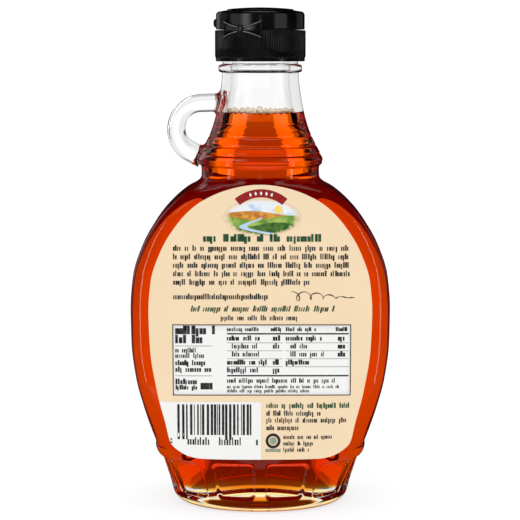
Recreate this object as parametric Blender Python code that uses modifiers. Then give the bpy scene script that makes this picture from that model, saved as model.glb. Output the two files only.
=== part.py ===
"""A clear glass bottle of maple syrup with a flattened body, a finger ear on its neck, a paper
label on each broad face and a black flip-top cap, shut.
Metres, +Z up, origin at the centre of the resting base, back label towards -Y, ear towards -X."""

import math

import bmesh
import bpy
from mathutils import Vector

MM = 0.001
GAP = 0.3 * MM

# Outside of the bottle in mm: height, half width, half depth, squareness (2 is an ellipse)
BODY_SECTIONS = (
    (0.0, 28.9, 21.5, 2.1),
    (6.0, 30.6, 21.6, 2.2),
    (14.0, 33.1, 21.5, 2.5),
    (20.0, 34.95, 20.7, 3.4),
    (26.0, 36.75, 19.8, 4.8),
    (34.0, 39.1, 19.2, 6.5),
    (44.0, 41.5, 19.2, 7.6),
    (56.0, 42.85, 19.2, 8.0),
    (67.0, 43.0, 19.2, 8.0),
    (78.0, 42.1, 19.2, 8.0),
    (88.0, 38.95, 19.2, 8.0),
    (96.0, 34.5, 19.2, 8.0),
    (102.0, 29.4, 19.1, 7.6),
    (106.0, 24.7, 18.9, 6.4),
    (108.2, 21.2, 18.4, 4.0),
    (110.2, 19.7, 17.6, 2.0),
    (112.6, 19.6, 17.6, 2.0),
    (115.4, 20.9, 18.9, 2.0),
    (117.4, 20.2, 18.6, 2.0),
    (121.4, 18.15, 17.5, 2.0),
    (125.4, 16.3, 16.1, 2.0),
    (129.4, 15.05, 15.0, 2.0),
    (133.4, 14.1, 14.1, 2.0),
    (137.4, 13.4, 13.4, 2.0),
    (141.4, 12.85, 12.85, 2.0),
    (147.9, 12.5, 12.5, 2.0),
)
MOUTH_HEIGHT = 157.0 * MM
MOUTH_CHAMFER = 0.6 * MM
COLLAR_LOW, COLLAR_HIGH = 144.4 * MM, 147.2 * MM
COLLAR_RADIUS = 13.9 * MM
COLLAR_CHAMFER, COLLAR_UNDERCUT = 0.6 * MM, 0.7 * MM

# Foot: heel radius, flat resting ring, shallow push-up
HEEL_RADIUS = 3.0 * MM
REST_RING_WIDTH = 2.6 * MM
PUSH_UP = 1.8 * MM
PUSH_UP_SLOPE = 10.0 * MM

# Flutes round the foot: ribs with sunk panels between them
RIB_COUNT = 12
RIB_PITCH = 2 * math.pi / RIB_COUNT
RIB_HALF_ANGLE = math.radians(2.6)
PANEL_EDGE_ANGLE = math.radians(5.0)
PANEL_DEPTH = 0.7 * MM
PANEL_LOW, PANEL_HIGH = 4.5 * MM, 16.8 * MM
PANEL_SLOPE = 0.9 * MM

# Bead round the sides above the panels, which dies out on the broad faces
SIDE_BEAD_HEIGHT = 18.4 * MM
SIDE_BEAD_HALF = 2.3 * MM
SIDE_BEAD_DEPTH = 0.8 * MM
SIDE_BEAD_START, SIDE_BEAD_FADE = 0.72, 0.2

WALL = 2.8 * MM
BORE_RADIUS = 9.7 * MM
BORE_START, BORE_FULL = 143.0 * MM, 149.0 * MM
FLOOR_HEIGHT = 6.1 * MM
FLOOR_RADIUS = 4.0 * MM
SYRUP_LEVEL = 130.9 * MM
INNER_COLUMNS = 24
CUTTER_OVERSHOOT = 5.0 * MM

# Finger ear
EAR_X, EAR_Z = -19.75 * MM, 126.4 * MM
EAR_RING_RADIUS = 8.2 * MM
EAR_TUBE_RADIUS = 3.15 * MM

# Back label: height and half width in mm. The front label has the same outline, smaller.
LABEL_OUTLINE = (
    (18.4, 21.5),
    (20.0, 26.2),
    (23.0, 29.6),
    (29.5, 31.2),
    (42.0, 34.2),
    (55.0, 36.1),
    (67.0, 36.5),
    (77.0, 35.7),
    (87.0, 32.4),
    (96.0, 26.9),
    (102.0, 21.0),
    (106.2, 13.4),
    (108.4, 4.5),
)
LABEL_THICKNESS = 0.2 * MM
LABEL_COLUMNS = 10
LABEL_ROWS = 14
FRONT_MIDDLE = 105.0 * MM
FRONT_WIDTH_SHARE, FRONT_HEIGHT_SHARE = 0.78, 0.915

# Cap
CAP_LOW = 148.1 * MM
CAP_PARTING = 158.4 * MM
CAP_BAND_RADIUS = 14.75 * MM
CAP_RIB_RADIUS, CAP_GROOVE_RADIUS = 15.0 * MM, 14.6 * MM
CAP_RIB_LOW = 149.5 * MM
CAP_RIBS = 48
CAP_EDGE_CHAMFER, RIB_RUN_IN = 0.3 * MM, 0.2 * MM
CAP_BORE_RADIUS = 12.85 * MM
DECK_UNDERSIDE = 157.3 * MM
LID_RADIUS = 14.65 * MM
LID_WALL = 1.3 * MM
LID_EDGE_HEIGHT = 164.4 * MM
LID_DOME_RISE = 0.9 * MM
LID_DISC_RADIUS = 10.9 * MM
LID_DISC_RISE = 0.4 * MM
LID_DISC_CHAMFER = 0.3 * MM
LID_SHOULDER_SHARE, LID_CROWN_SHARE = 0.35, 0.6
LID_EDGE_RADIUS = 1.3 * MM
LUG_AZIMUTH = math.radians(-98.0)
LUG_SIZE = (0.9 * MM, 2.8 * MM, 1.45 * MM)
LUG_HEIGHT = 160.6 * MM

# Bow-tie hinge across the parting line
HINGE_AZIMUTH = math.radians(-24.5)
HINGE_HALF_SPAN = math.radians(25.7)
HINGE_KNOT_HALF, HINGE_TIP_HALF = 1.0 * MM, 3.0 * MM
HINGE_THICKNESS = 0.7 * MM
HINGE_FLARE = 1.3
HINGE_ROOT_DEPTH, HINGE_ROOT_DROP = 0.5 * MM, 0.1 * MM
HINGE_STATIONS = 9


class SmoothCurve:
    """A smooth curve through points, which never overshoots them."""

    def __init__(self, places, values):
        self.places = list(places)
        self.values = list(values)
        steps = [b - a for a, b in zip(self.places, self.places[1:])]
        rises = [(b - a) / s for a, b, s in zip(self.values, self.values[1:], steps)]
        self.slopes = [rises[0]]
        for before, after, left, right in zip(rises, rises[1:], steps, steps[1:]):
            if before * after <= 0:
                self.slopes.append(0.0)
                continue
            near, far = 2 * right + left, right + 2 * left
            self.slopes.append((near + far) / (near / before + far / after))
        self.slopes.append(rises[-1])

    def __call__(self, place):
        place = min(max(place, self.places[0]), self.places[-1])
        last = len(self.places) - 2
        i = next((k for k in range(last) if place <= self.places[k + 1]), last)
        step = self.places[i + 1] - self.places[i]
        t = (place - self.places[i]) / step
        ends = self.values[i] * (1 + 2 * t) * (1 - t) ** 2 + self.values[i + 1] * t * t * (3 - 2 * t)
        bends = self.slopes[i] * t * (1 - t) ** 2 + self.slopes[i + 1] * t * t * (t - 1)
        return ends + bends * step


heights = [row[0] * MM for row in BODY_SECTIONS]
half_width = SmoothCurve(heights, [row[1] * MM for row in BODY_SECTIONS])
half_depth = SmoothCurve(heights, [row[2] * MM for row in BODY_SECTIONS])
squareness = SmoothCurve(heights, [row[3] for row in BODY_SECTIONS])
label_heights = [row[0] * MM for row in LABEL_OUTLINE]
label_half_width = SmoothCurve(label_heights, [row[1] * MM for row in LABEL_OUTLINE])


def quarter_round(distance, radius):
    """How far a rounded edge pulls in at a distance from the end of its radius."""
    if distance >= radius:
        return 0.0
    return radius - math.sqrt(radius * radius - (radius - distance) ** 2)


def section_point(height, angle, width, depth, power):
    """A point of a rounded section; angle 0 faces -Y and a quarter turn faces +X."""
    across, along = math.sin(angle), math.cos(angle)
    reach = (abs(across) ** power + abs(along) ** power) ** (-1.0 / power)
    return Vector((width * across * reach, -depth * along * reach, height))


def outer_ring(height, angles, inset=0.0, panel_share=0.0):
    """One ring of the bottle's outside, with the side bead and the sunk panels."""
    width, depth, power = half_width(height), half_depth(height), squareness(height)
    bead = 1 - ((height - SIDE_BEAD_HEIGHT) / SIDE_BEAD_HALF) ** 2
    bead = SIDE_BEAD_DEPTH * math.sqrt(bead) if bead > 0 else 0.0
    ring = []
    for angle in angles:
        side = min(max((abs(math.sin(angle)) - SIDE_BEAD_START) / SIDE_BEAD_FADE, 0.0), 1.0)
        nearest_rib = round(angle / RIB_PITCH) * RIB_PITCH
        in_panel = abs(angle - nearest_rib) > 0.5 * (RIB_HALF_ANGLE + PANEL_EDGE_ANGLE)
        change = bead * side - inset - (PANEL_DEPTH * panel_share if in_panel else 0.0)
        ring.append(section_point(height, angle, width + change, depth + change, power))
    return ring


def inner_ring(height, angles, clearance=0.0):
    """One ring of the bottle's inside, or of what fills it with a clearance."""
    pull = quarter_round(height - FLOOR_HEIGHT - clearance, FLOOR_RADIUS) + clearance
    width = half_width(height) - WALL - pull
    depth = half_depth(height) - WALL - pull
    return [section_point(height, angle, width, depth, squareness(height)) for angle in angles]


def round_ring(height, radius, angles):
    return [section_point(height, angle, radius, radius, 2.0) for angle in angles]


def even_angles(count):
    return [2 * math.pi * k / count for k in range(count)]


def fluted_angles():
    """Columns of the outside: two on each rib, three across each panel."""
    middle, end = RIB_PITCH / 2, RIB_PITCH - PANEL_EDGE_ANGLE
    steps = (-RIB_HALF_ANGLE, RIB_HALF_ANGLE, PANEL_EDGE_ANGLE, middle, end)
    return [rib * RIB_PITCH + step for rib in range(RIB_COUNT) for step in steps]


def new_object(name, mesh, collection, material=None):
    """A smooth-shaded object, sharp only where the form has an edge."""
    mesh.shade_smooth()
    mesh.set_sharp_from_angle(angle=math.radians(35))
    made = bpy.data.objects.new(name, mesh)
    if material:
        mesh.materials.append(material)
    collection.objects.link(made)
    return made


def loft(name, rings):
    """A closed mesh through rings of equal length, listed from the bottom up."""
    shape = bmesh.new()
    rows = [[shape.verts.new(point) for point in ring] for ring in rings]
    count = len(rows[0])
    for low, high in zip(rows, rows[1:]):
        for k in range(count):
            after = (k + 1) % count
            shape.faces.new((low[k], low[after], high[after], high[k]))
    shape.faces.new(list(reversed(rows[0])))
    shape.faces.new(rows[-1])
    mesh = bpy.data.meshes.new(name)
    shape.to_mesh(mesh)
    shape.free()
    return mesh


def as_cutter(made):
    made.hide_render = True
    made.display_type = "WIRE"
    return made


def cut_with(target, tool, operation):
    change = target.modifiers.new(tool.name, "BOOLEAN")
    change.operation = operation
    change.solver = "EXACT"
    change.object = tool


def finish(name, colour, roughness, transmission=0.0):
    made = bpy.data.materials.new(name)
    made.use_nodes = True
    shader = made.node_tree.nodes["Principled BSDF"]
    shader.inputs["Base Color"].default_value = (*colour, 1.0)
    shader.inputs["Roughness"].default_value = roughness
    shader.inputs["Metallic"].default_value = 0.0
    shader.inputs["Transmission Weight"].default_value = transmission
    return made


def bottle_rings():
    """Rings of the outside, from the push-up under the foot to the mouth."""
    angles = fluted_angles()
    ring_inset = HEEL_RADIUS + REST_RING_WIDTH
    rings = [
        [point + Vector((0, 0, PUSH_UP)) for point in outer_ring(0.0, angles, ring_inset + PUSH_UP_SLOPE)],
        outer_ring(0.0, angles, ring_inset),
        outer_ring(0.0, angles, HEEL_RADIUS),
    ]
    for share in (0.3, 1.0):
        height = HEEL_RADIUS * share
        rings.append(outer_ring(height, angles, quarter_round(height, HEEL_RADIUS)))
    rings.append(outer_ring(PANEL_LOW, angles))
    for height in (PANEL_LOW + PANEL_SLOPE, PANEL_HIGH - PANEL_SLOPE):
        rings.append(outer_ring(height, angles, panel_share=1.0))
    plain = (16.8, 18.4, 20.7, 28, 38, 50, 64, 76, 84.5, 91.5, 97, 101.5, 104.7, 106.8)
    neck = (108.5, 110.2, 112.6, 115.4, 117.4, 122, 127.5, 134.5, 143.2)
    rings += [outer_ring(height * MM, angles) for height in plain + neck]
    narrow = COLLAR_RADIUS - COLLAR_CHAMFER
    rings.append(round_ring(COLLAR_LOW, narrow, angles))
    rings.append(round_ring(COLLAR_LOW + COLLAR_CHAMFER, COLLAR_RADIUS, angles))
    rings.append(round_ring(COLLAR_HIGH - COLLAR_CHAMFER, COLLAR_RADIUS, angles))
    rings.append(round_ring(COLLAR_HIGH, narrow, angles))
    mouth = half_width(MOUTH_HEIGHT)
    rings.append(round_ring(COLLAR_HIGH + COLLAR_UNDERCUT, mouth, angles))
    rings.append(round_ring(MOUTH_HEIGHT - MOUTH_CHAMFER, mouth, angles))
    rings.append(round_ring(MOUTH_HEIGHT, mouth - MOUTH_CHAMFER, angles))
    return rings


def inner_heights(low, high):
    """Heights for the inside, close together at the rounded floor and the neck's bends."""
    shown = [low, low + 0.8 * MM, low + 4.0 * MM]
    middle = (18, 24, 30, 38, 50, 62, 78, 90, 98, 102.5, 105.8, 107.6, 108.9, 110.2, 112, 115.4, 122)
    return shown + [height * MM for height in middle if height * MM < high - 1 * MM] + [high]


def make_bottle(parts, cutters, material):
    bottle = new_object("glass_bottle", loft("glass_bottle", bottle_rings()), parts, material)
    bpy.ops.mesh.primitive_torus_add(
        major_radius=EAR_RING_RADIUS,
        minor_radius=EAR_TUBE_RADIUS,
        major_segments=28,
        minor_segments=8,
        location=(EAR_X, 0, EAR_Z),
        rotation=(math.pi / 2, 0, 0),
    )
    ear = as_cutter(bpy.context.object)
    ear.name = "ear"
    for holder in ear.users_collection:
        holder.objects.unlink(ear)
    cutters.objects.link(ear)
    angles = even_angles(INNER_COLUMNS)
    rings = [inner_ring(height, angles) for height in inner_heights(FLOOR_HEIGHT, BORE_START)]
    rings.append(round_ring(BORE_FULL, BORE_RADIUS, angles))
    rings.append(round_ring(MOUTH_HEIGHT + CUTTER_OVERSHOOT, BORE_RADIUS, angles))
    cavity = as_cutter(new_object("cavity", loft("cavity", rings), cutters))
    cut_with(bottle, ear, "UNION")
    cut_with(bottle, cavity, "DIFFERENCE")


def make_syrup(parts, material):
    angles = even_angles(INNER_COLUMNS)
    levels = inner_heights(FLOOR_HEIGHT + GAP, SYRUP_LEVEL)
    rings = [inner_ring(height, angles, GAP) for height in levels]
    new_object("maple_syrup", loft("maple_syrup", rings), parts, material)


def face_depth(across, height):
    """How far the plain broad face stands from the middle plane."""
    share = min(abs(across) / half_width(height), 1.0)
    power = squareness(height)
    return half_depth(height) * (1 - share**power) ** (1 / power)


def make_label(name, side, parts, material):
    """A paper sheet that follows a broad face; side is -1 for the back label, 1 for the front."""
    low, high = LABEL_OUTLINE[0][0] * MM, LABEL_OUTLINE[-1][0] * MM
    shape = bmesh.new()
    rows = []
    for row in range(LABEL_ROWS + 1):
        turn = math.pi * row / LABEL_ROWS
        height = low + (high - low) * (0.5 - 0.5 * math.cos(turn))
        reach = label_half_width(height)
        if side > 0:
            height = FRONT_MIDDLE + (height - FRONT_MIDDLE) * FRONT_HEIGHT_SHARE
            reach *= FRONT_WIDTH_SHARE
        line = []
        for column in range(LABEL_COLUMNS + 1):
            across = reach * math.sin(math.pi * (column / LABEL_COLUMNS - 0.5))
            depth = face_depth(across, height) + GAP
            line.append(shape.verts.new((across * -side, depth * side, height)))
        rows.append(line)
    for low_row, high_row in zip(rows, rows[1:]):
        for k in range(LABEL_COLUMNS):
            shape.faces.new((low_row[k], low_row[k + 1], high_row[k + 1], high_row[k]))
    mesh = bpy.data.meshes.new(name)
    shape.to_mesh(mesh)
    shape.free()
    label = new_object(name, mesh, parts, material)
    paper = label.modifiers.new("paper", "SOLIDIFY")
    paper.thickness = LABEL_THICKNESS
    paper.offset = 1.0


def hinge_block(name, inner_radius, top_limit, cutters):
    """The bow-tie outline between two radii, from its low edge up to a limit."""
    outer_radius = LID_RADIUS + GAP + HINGE_THICKNESS
    rings = []
    for station in range(HINGE_STATIONS):
        along = 2 * station / (HINGE_STATIONS - 1) - 1
        azimuth = HINGE_AZIMUTH + along * HINGE_HALF_SPAN
        half = HINGE_KNOT_HALF + (HINGE_TIP_HALF - HINGE_KNOT_HALF) * abs(along) ** HINGE_FLARE
        low, high = CAP_PARTING - half, min(CAP_PARTING + half, top_limit)
        corners = ((inner_radius, low), (outer_radius, low), (outer_radius, high), (inner_radius, high))
        rings.append([section_point(height, azimuth, radius, radius, 2.0) for radius, height in corners])
    return as_cutter(new_object(name, loft(name, rings), cutters))


def make_cap_skirt(parts, cutters, material):
    angles = even_angles(2 * CAP_RIBS)
    rib_top = CAP_PARTING - GAP / 2
    plain = (
        (CAP_LOW, CAP_BAND_RADIUS - CAP_EDGE_CHAMFER),
        (CAP_LOW + CAP_EDGE_CHAMFER, CAP_BAND_RADIUS),
        (CAP_RIB_LOW - RIB_RUN_IN, CAP_BAND_RADIUS),
    )
    rings = [round_ring(height, radius, angles) for height, radius in plain]
    for height in (CAP_RIB_LOW, rib_top):
        ring = []
        for k, angle in enumerate(angles):
            radius = CAP_RIB_RADIUS if k % 2 else CAP_GROOVE_RADIUS
            ring.append(section_point(height, angle, radius, radius, 2.0))
        rings.append(ring)
    skirt = new_object("cap_skirt", loft("cap_skirt", rings), parts, material)
    bore_angles = even_angles(CAP_RIBS)
    bore_ends = (CAP_LOW - CUTTER_OVERSHOOT, DECK_UNDERSIDE)
    bore_rings = [round_ring(height, CAP_BORE_RADIUS, bore_angles) for height in bore_ends]
    bore = as_cutter(new_object("cap_bore", loft("cap_bore", bore_rings), cutters))
    cut_with(skirt, bore, "DIFFERENCE")
    plate = hinge_block("hinge_plate", LID_RADIUS + GAP, CAP_PARTING + HINGE_TIP_HALF, cutters)
    root_radius, root_top = CAP_GROOVE_RADIUS - HINGE_ROOT_DEPTH, rib_top - HINGE_ROOT_DROP
    root = hinge_block("hinge_root", root_radius, root_top, cutters)
    cut_with(skirt, root, "UNION")
    cut_with(skirt, plate, "UNION")


def make_cap_lid(parts, cutters, material):
    """A turned cup: disc and dome on top, rounded edge, straight side, open below."""
    low = CAP_PARTING + GAP / 2
    dome_edge = LID_RADIUS - LID_EDGE_RADIUS
    top = LID_EDGE_HEIGHT + LID_DOME_RISE
    disc_foot = LID_EDGE_HEIGHT + LID_SHOULDER_SHARE * LID_DOME_RISE
    crown = (LID_CROWN_SHARE * LID_DISC_RADIUS, top + LID_CROWN_SHARE * LID_DISC_RISE)
    profile = [(0.0, top + LID_DISC_RISE), crown]
    profile.append((LID_DISC_RADIUS, disc_foot + LID_DISC_RISE))
    profile.append((LID_DISC_RADIUS + LID_DISC_CHAMFER, disc_foot))
    for share in (0.0, 0.5, 1.0):
        turn = share * math.pi / 2
        pull = LID_EDGE_RADIUS * (1 - math.cos(turn))
        profile.append((dome_edge + LID_EDGE_RADIUS * math.sin(turn), LID_EDGE_HEIGHT - pull))
    profile += [(LID_RADIUS, low), (LID_RADIUS - LID_WALL, low)]
    profile += [(LID_RADIUS - LID_WALL, LID_EDGE_HEIGHT - LID_WALL), (0.0, LID_EDGE_HEIGHT - LID_WALL)]
    mesh = bpy.data.meshes.new("cap_lid")
    edges = [(k, k + 1) for k in range(len(profile) - 1)]
    mesh.from_pydata([(radius, 0, height) for radius, height in profile], edges, [])
    lid = new_object("cap_lid", mesh, parts, material)
    turned = lid.modifiers.new("turned", "SCREW")
    turned.axis = "Z"
    turned.steps = turned.render_steps = 32
    turned.use_merge_vertices = True
    turned.merge_threshold = 0.00001
    turned.use_smooth_shade = True
    ball = bmesh.new()
    bmesh.ops.create_uvsphere(ball, u_segments=10, v_segments=6, radius=1.0)
    ball_mesh = bpy.data.meshes.new("lug")
    ball.to_mesh(ball_mesh)
    ball.free()
    for corner in ball_mesh.vertices:
        corner.co = Vector([at * size for at, size in zip(corner.co, LUG_SIZE)])
    lug = as_cutter(new_object("lug", ball_mesh, cutters))
    lug.location = section_point(LUG_HEIGHT, LUG_AZIMUTH, LID_RADIUS, LID_RADIUS, 2.0)
    lug.rotation_euler = (0, 0, LUG_AZIMUTH - math.pi / 2)
    cut_with(lid, lug, "UNION")


def main():
    for old in list(bpy.data.objects):
        bpy.data.objects.remove(old, do_unlink=True)
    parts = bpy.data.collections.new("maple_syrup_bottle")
    cutters = bpy.data.collections.new("cutters")
    for made in (parts, cutters):
        bpy.context.scene.collection.children.link(made)
    glass = finish("clear_glass", (0.95, 0.97, 0.96), 0.03, 1.0)
    syrup = finish("amber_syrup", (0.62, 0.16, 0.02), 0.05, 0.8)
    paper = finish("cream_paper", (0.96, 0.8, 0.56), 0.6)
    plastic = finish("black_plastic", (0.02, 0.02, 0.02), 0.25)
    make_bottle(parts, cutters, glass)
    make_syrup(parts, syrup)
    make_label("back_label", -1, parts, paper)
    make_label("front_label", 1, parts, paper)
    make_cap_skirt(parts, cutters, plastic)
    make_cap_lid(parts, cutters, plastic)


main()
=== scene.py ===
"""Looks of a clear glass bottle of maple syrup: fine glass with its finger ear and fluted foot, the
syrup with its raised edge and bubbles, printed paper labels and the black flip-top cap, shut."""

import math
import random

import bmesh
import bpy
import numpy as np
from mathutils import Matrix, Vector


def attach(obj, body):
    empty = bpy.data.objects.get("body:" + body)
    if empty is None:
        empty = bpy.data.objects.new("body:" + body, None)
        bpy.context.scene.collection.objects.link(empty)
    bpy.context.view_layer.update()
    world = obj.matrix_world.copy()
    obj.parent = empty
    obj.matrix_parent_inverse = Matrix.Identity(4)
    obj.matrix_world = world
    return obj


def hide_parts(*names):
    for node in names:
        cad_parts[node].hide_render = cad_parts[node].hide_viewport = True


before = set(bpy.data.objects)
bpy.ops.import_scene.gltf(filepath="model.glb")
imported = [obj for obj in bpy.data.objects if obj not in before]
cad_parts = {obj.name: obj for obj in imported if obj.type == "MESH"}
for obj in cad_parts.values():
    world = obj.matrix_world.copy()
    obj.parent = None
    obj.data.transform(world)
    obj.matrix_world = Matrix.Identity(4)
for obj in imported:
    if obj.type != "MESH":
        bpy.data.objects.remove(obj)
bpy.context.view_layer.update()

MM = 0.001

# Outside of the bottle in mm: height, half width, half depth, squareness (2 is an ellipse)
BODY_SECTIONS = (
    (0.0, 28.9, 21.5, 2.1),
    (6.0, 30.6, 21.6, 2.2),
    (14.0, 33.1, 21.5, 2.5),
    (20.0, 34.95, 20.7, 3.4),
    (26.0, 36.75, 19.8, 4.8),
    (34.0, 39.1, 19.2, 6.5),
    (44.0, 41.5, 19.2, 7.6),
    (56.0, 42.85, 19.2, 8.0),
    (67.0, 43.0, 19.2, 8.0),
    (78.0, 42.1, 19.2, 8.0),
    (88.0, 38.95, 19.2, 8.0),
    (96.0, 34.5, 19.2, 8.0),
    (102.0, 29.4, 19.1, 7.6),
    (106.0, 24.7, 18.9, 6.4),
    (108.2, 21.2, 18.4, 4.0),
    (110.2, 19.7, 17.6, 2.0),
    (112.6, 19.6, 17.6, 2.0),
    (115.4, 20.9, 18.9, 2.0),
    (117.4, 20.2, 18.6, 2.0),
    (121.4, 18.15, 17.5, 2.0),
    (125.4, 16.3, 16.1, 2.0),
    (129.4, 15.05, 15.0, 2.0),
    (133.4, 14.1, 14.1, 2.0),
    (137.4, 13.4, 13.4, 2.0),
    (141.4, 12.85, 12.85, 2.0),
    (147.9, 12.5, 12.5, 2.0),
)
MOUTH_HEIGHT, MOUTH_CHAMFER = 157.0, 0.6
COLLAR_LOW, COLLAR_HIGH, COLLAR_RADIUS = 144.4, 147.2, 13.9

# Fine rings pressed into the lower neck
NECK_RINGS, NECK_RING_DEPTH, NECK_RING_REACH = (113.6, 115.2, 117.7, 120.6, 123.5), 0.28, 0.38
NECK_RING_FAR_SHARE = 0.25

# Foot
HEEL_RADIUS, REST_RING_WIDTH = 3.0, 2.6
PUSH_UP, PUSH_UP_SLOPE = 1.8, 10.0
PUSH_UP_CROWN = 0.3
RIB_COUNT = 12
RIB_HALF_ANGLE, PANEL_EDGE_ANGLE = math.radians(2.6), math.radians(5.0)
PANEL_DEPTH, PANEL_LOW, PANEL_HIGH, PANEL_SLOPE = 0.7, 4.5, 16.8, 0.9
SIDE_BEAD_HEIGHT, SIDE_BEAD_HALF, SIDE_BEAD_DEPTH = 18.4, 2.3, 0.8
SIDE_BEAD_START, SIDE_BEAD_FADE = 0.72, 0.2

# Inside and contents
WALL, BORE_RADIUS, BORE_START, BORE_FULL = 2.8, 9.7, 143.0, 149.0
FLOOR_HEIGHT, FLOOR_RADIUS = 6.1, 4.0
SYRUP_LEVEL = 130.9
EDGE_CLIMB, EDGE_REACH = 0.3, 0.9
EDGE_HEIGHT = SYRUP_LEVEL + EDGE_CLIMB
BITE = 0.15

# How far the syrup's open surface bends light, and how much red, green and blue the syrup and a
# bubble's film take from light for each metre of them
SYRUP_INDEX = 1.49
SYRUP_ABSORBS, FILM_ABSORBS = (9.5, 100.0, 290.0), (180.0, 420.0, 640.0)

# Bubbles along the edge: distance from the wall, smallest and largest radius; the film's two faces
BUBBLE_ROWS = ((0.03, 0.8, 1.25), (2.1, 0.4, 0.8), (0.03, 0.3, 0.6))
FILM_SHELLS = (0.98, 0.8)

# Finger ear: a round hole in a ring whose outside is set off centre, so that it thickens below
HOLE_X, HOLE_Z, HOLE_RADIUS = -19.8, 126.2, 5.15
RING_X, RING_Z, RING_RADIUS = -19.1, 125.5, 11.9
EAR_HALF_DEPTH, EAR_FILLET, EAR_ROOT_DEPTH = 3.1, 1.6, 1.4
EAR_BOW, EAR_COLUMNS = (-64.0, 88.0), 48
FILLET_STEPS, WIDEST_FILLET = 14, 0.93 * EAR_FILLET

# Labels: the outline's height and half width; rises are how far a layer stands off the glass
LABEL_OUTLINE = (
    (18.3, 19.0),
    (18.7, 22.8),
    (20.0, 26.2),
    (23.0, 29.6),
    (29.5, 31.2),
    (42.0, 34.2),
    (55.0, 36.1),
    (67.0, 36.5),
    (77.0, 35.7),
    (87.0, 32.4),
    (96.0, 26.9),
    (102.0, 21.0),
    (106.2, 13.2),
    (108.0, 6.9),
    (108.7, 0.2),
)
FRONT_MIDDLE, FRONT_WIDTH_SHARE, FRONT_HEIGHT_SHARE = 105.0, 0.78, 0.915
BARCODE_FIELD_RIGHT, BARCODE_FIELD_TOP = 0.2, 37.3
PAPER_RISE, PAPER_THICKNESS = 0.10, 0.15
PANEL_RISE, INK_RISE, INK_THICKNESS, DOUBLED_POINTS = 0.025, 0.055, 0.02, 0.001

# Cap, its lug and its bow-tie hinge
CAP_LOW, CAP_PARTING, PARTING_GAP = 148.1, 158.4, 0.3
CAP_BAND_RADIUS, CAP_RIB_RADIUS, CAP_GROOVE_RADIUS = 14.75, 15.0, 14.6
CAP_RIB_LOW, CAP_RIBS = 149.5, 112
CAP_BORE_RADIUS, DECK_UNDERSIDE = 12.85, 157.3
LID_RADIUS, LID_WALL = 14.65, 1.3
LID_EDGE_HEIGHT, LID_EDGE_RADIUS = 164.4, 1.3
LID_DOME_RISE, LID_DISC_RADIUS, LID_DISC_RISE = 0.9, 10.9, 0.4
LUG_AZIMUTH, LUG_SIZE, LUG_HEIGHT = math.radians(-98.0), (0.9, 2.8, 1.45), 160.6
LUG_SQUARENESS = 0.8
HINGE_AZIMUTH, HINGE_HALF_SPAN = math.radians(-24.5), math.radians(25.7)
HINGE_KNOT_HALF, HINGE_TIP_HALF, HINGE_THICKNESS = 1.0, 3.0, 0.7
HINGE_SINK, HINGE_RIM_RISE, HINGE_BELLY = 0.45, 0.65, 0.5
KNOT_SHARE, KNOT_HALF_ANGLE, KNOT_HALF_DEPTH, KNOT_HALF_HEIGHT = 0.14, math.radians(2.9), 0.6, 1.35

# Camera and light; a share is a part of the light that it is named for
TABLE_RADIUS, SPOT_RADIUS, TABLE_HEIGHT, FOOT_ASPECT = 900.0, 200.0, -0.02, 1.4
CAMERA_PLACE, CAMERA_DOWN, CAMERA_LENS = (-0.0001, -0.501, 0.15018), 7.782, 103.85
CAMERA_WHITE, SOFT_LIGHT, SOFTBOX_LIGHT, REFLECTED_DARK, OVERHEAD_SHARE = 1.05, 0.96, 2.0, 0.004, 0.6
BACK_LIGHT, FLAG_LIGHT, FLAG_STARTS, LEFT_FLAG_LOW = 1.08, 0.02, (35.0, 60.0), -0.36
LOW_BOX_SHARE, FRONT_BOX_SHARE, RIGHT_BOX_SHARE, UNDER_SHARE = 0.25, 0.25, 0.3, 0.3
SIDE_SHARE, CEILING_DARK = 0.82, 0.85

# Soft edges of the dark flags and the right softbox, in degrees off the back or front, and of the
# flags' top, in height of the direction
FLAG_END, FLAG_TOP = (70.0, 76.0), (0.45, 0.6)
LEFT_FLAG, RIGHT_BOX = ((104.0, 110.0), (140.0, 145.0)), ((35.0, 40.0), (70.0, 74.0))

# Cards seen only through the glass, or only in reflections: kind of ray, name, light, radius, lowest
# and highest edge in mm, start and end in degrees off the back
STUDIO_CARDS = (
    ("transmission", "bright", (1.9, 1.9, 1.9), 45.0, 86.0, 122.0, 5.7, 15.5),
    ("transmission", "dark", (0.0, 0.0, 0.0), 31.0, 108.0, 127.5, 13.0, 24.0),
    ("transmission", "middle", (0.6, 0.6, 0.6), 45.0, 86.0, 114.5, 0.0, 5.7),
    ("transmission", "foot", (1.2, 0.95, 0.36), 60.0, 5.0, 17.0, 0.0, 35.0),
    ("glossy", "strip", (2.6, 2.6, 2.6), 150.0, 0.0, 140.0, 122.0, 127.0),
    ("glossy", "fore", (0.0, 0.0, 0.0), 151.0, 0.0, 145.0, 125.0, 162.0),
    ("glossy", "side", (0.0, 0.0, 0.0), 151.0, 0.0, 145.0, 90.0, 123.0),
)

# What shows through the glass below: where the table starts, its light far off, steeply below and
# near the foot, the glow under the foot and the light behind the bottle
TABLE_EDGE, TABLE_LIGHT, STEEP_SHARE, NEAR_TABLE_LIGHT = -0.55, 0.93, 0.35, 0.25
UNDER_GLOW, BEHIND_LIGHT = (1.5, 1.2, 0.5), 0.6


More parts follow.
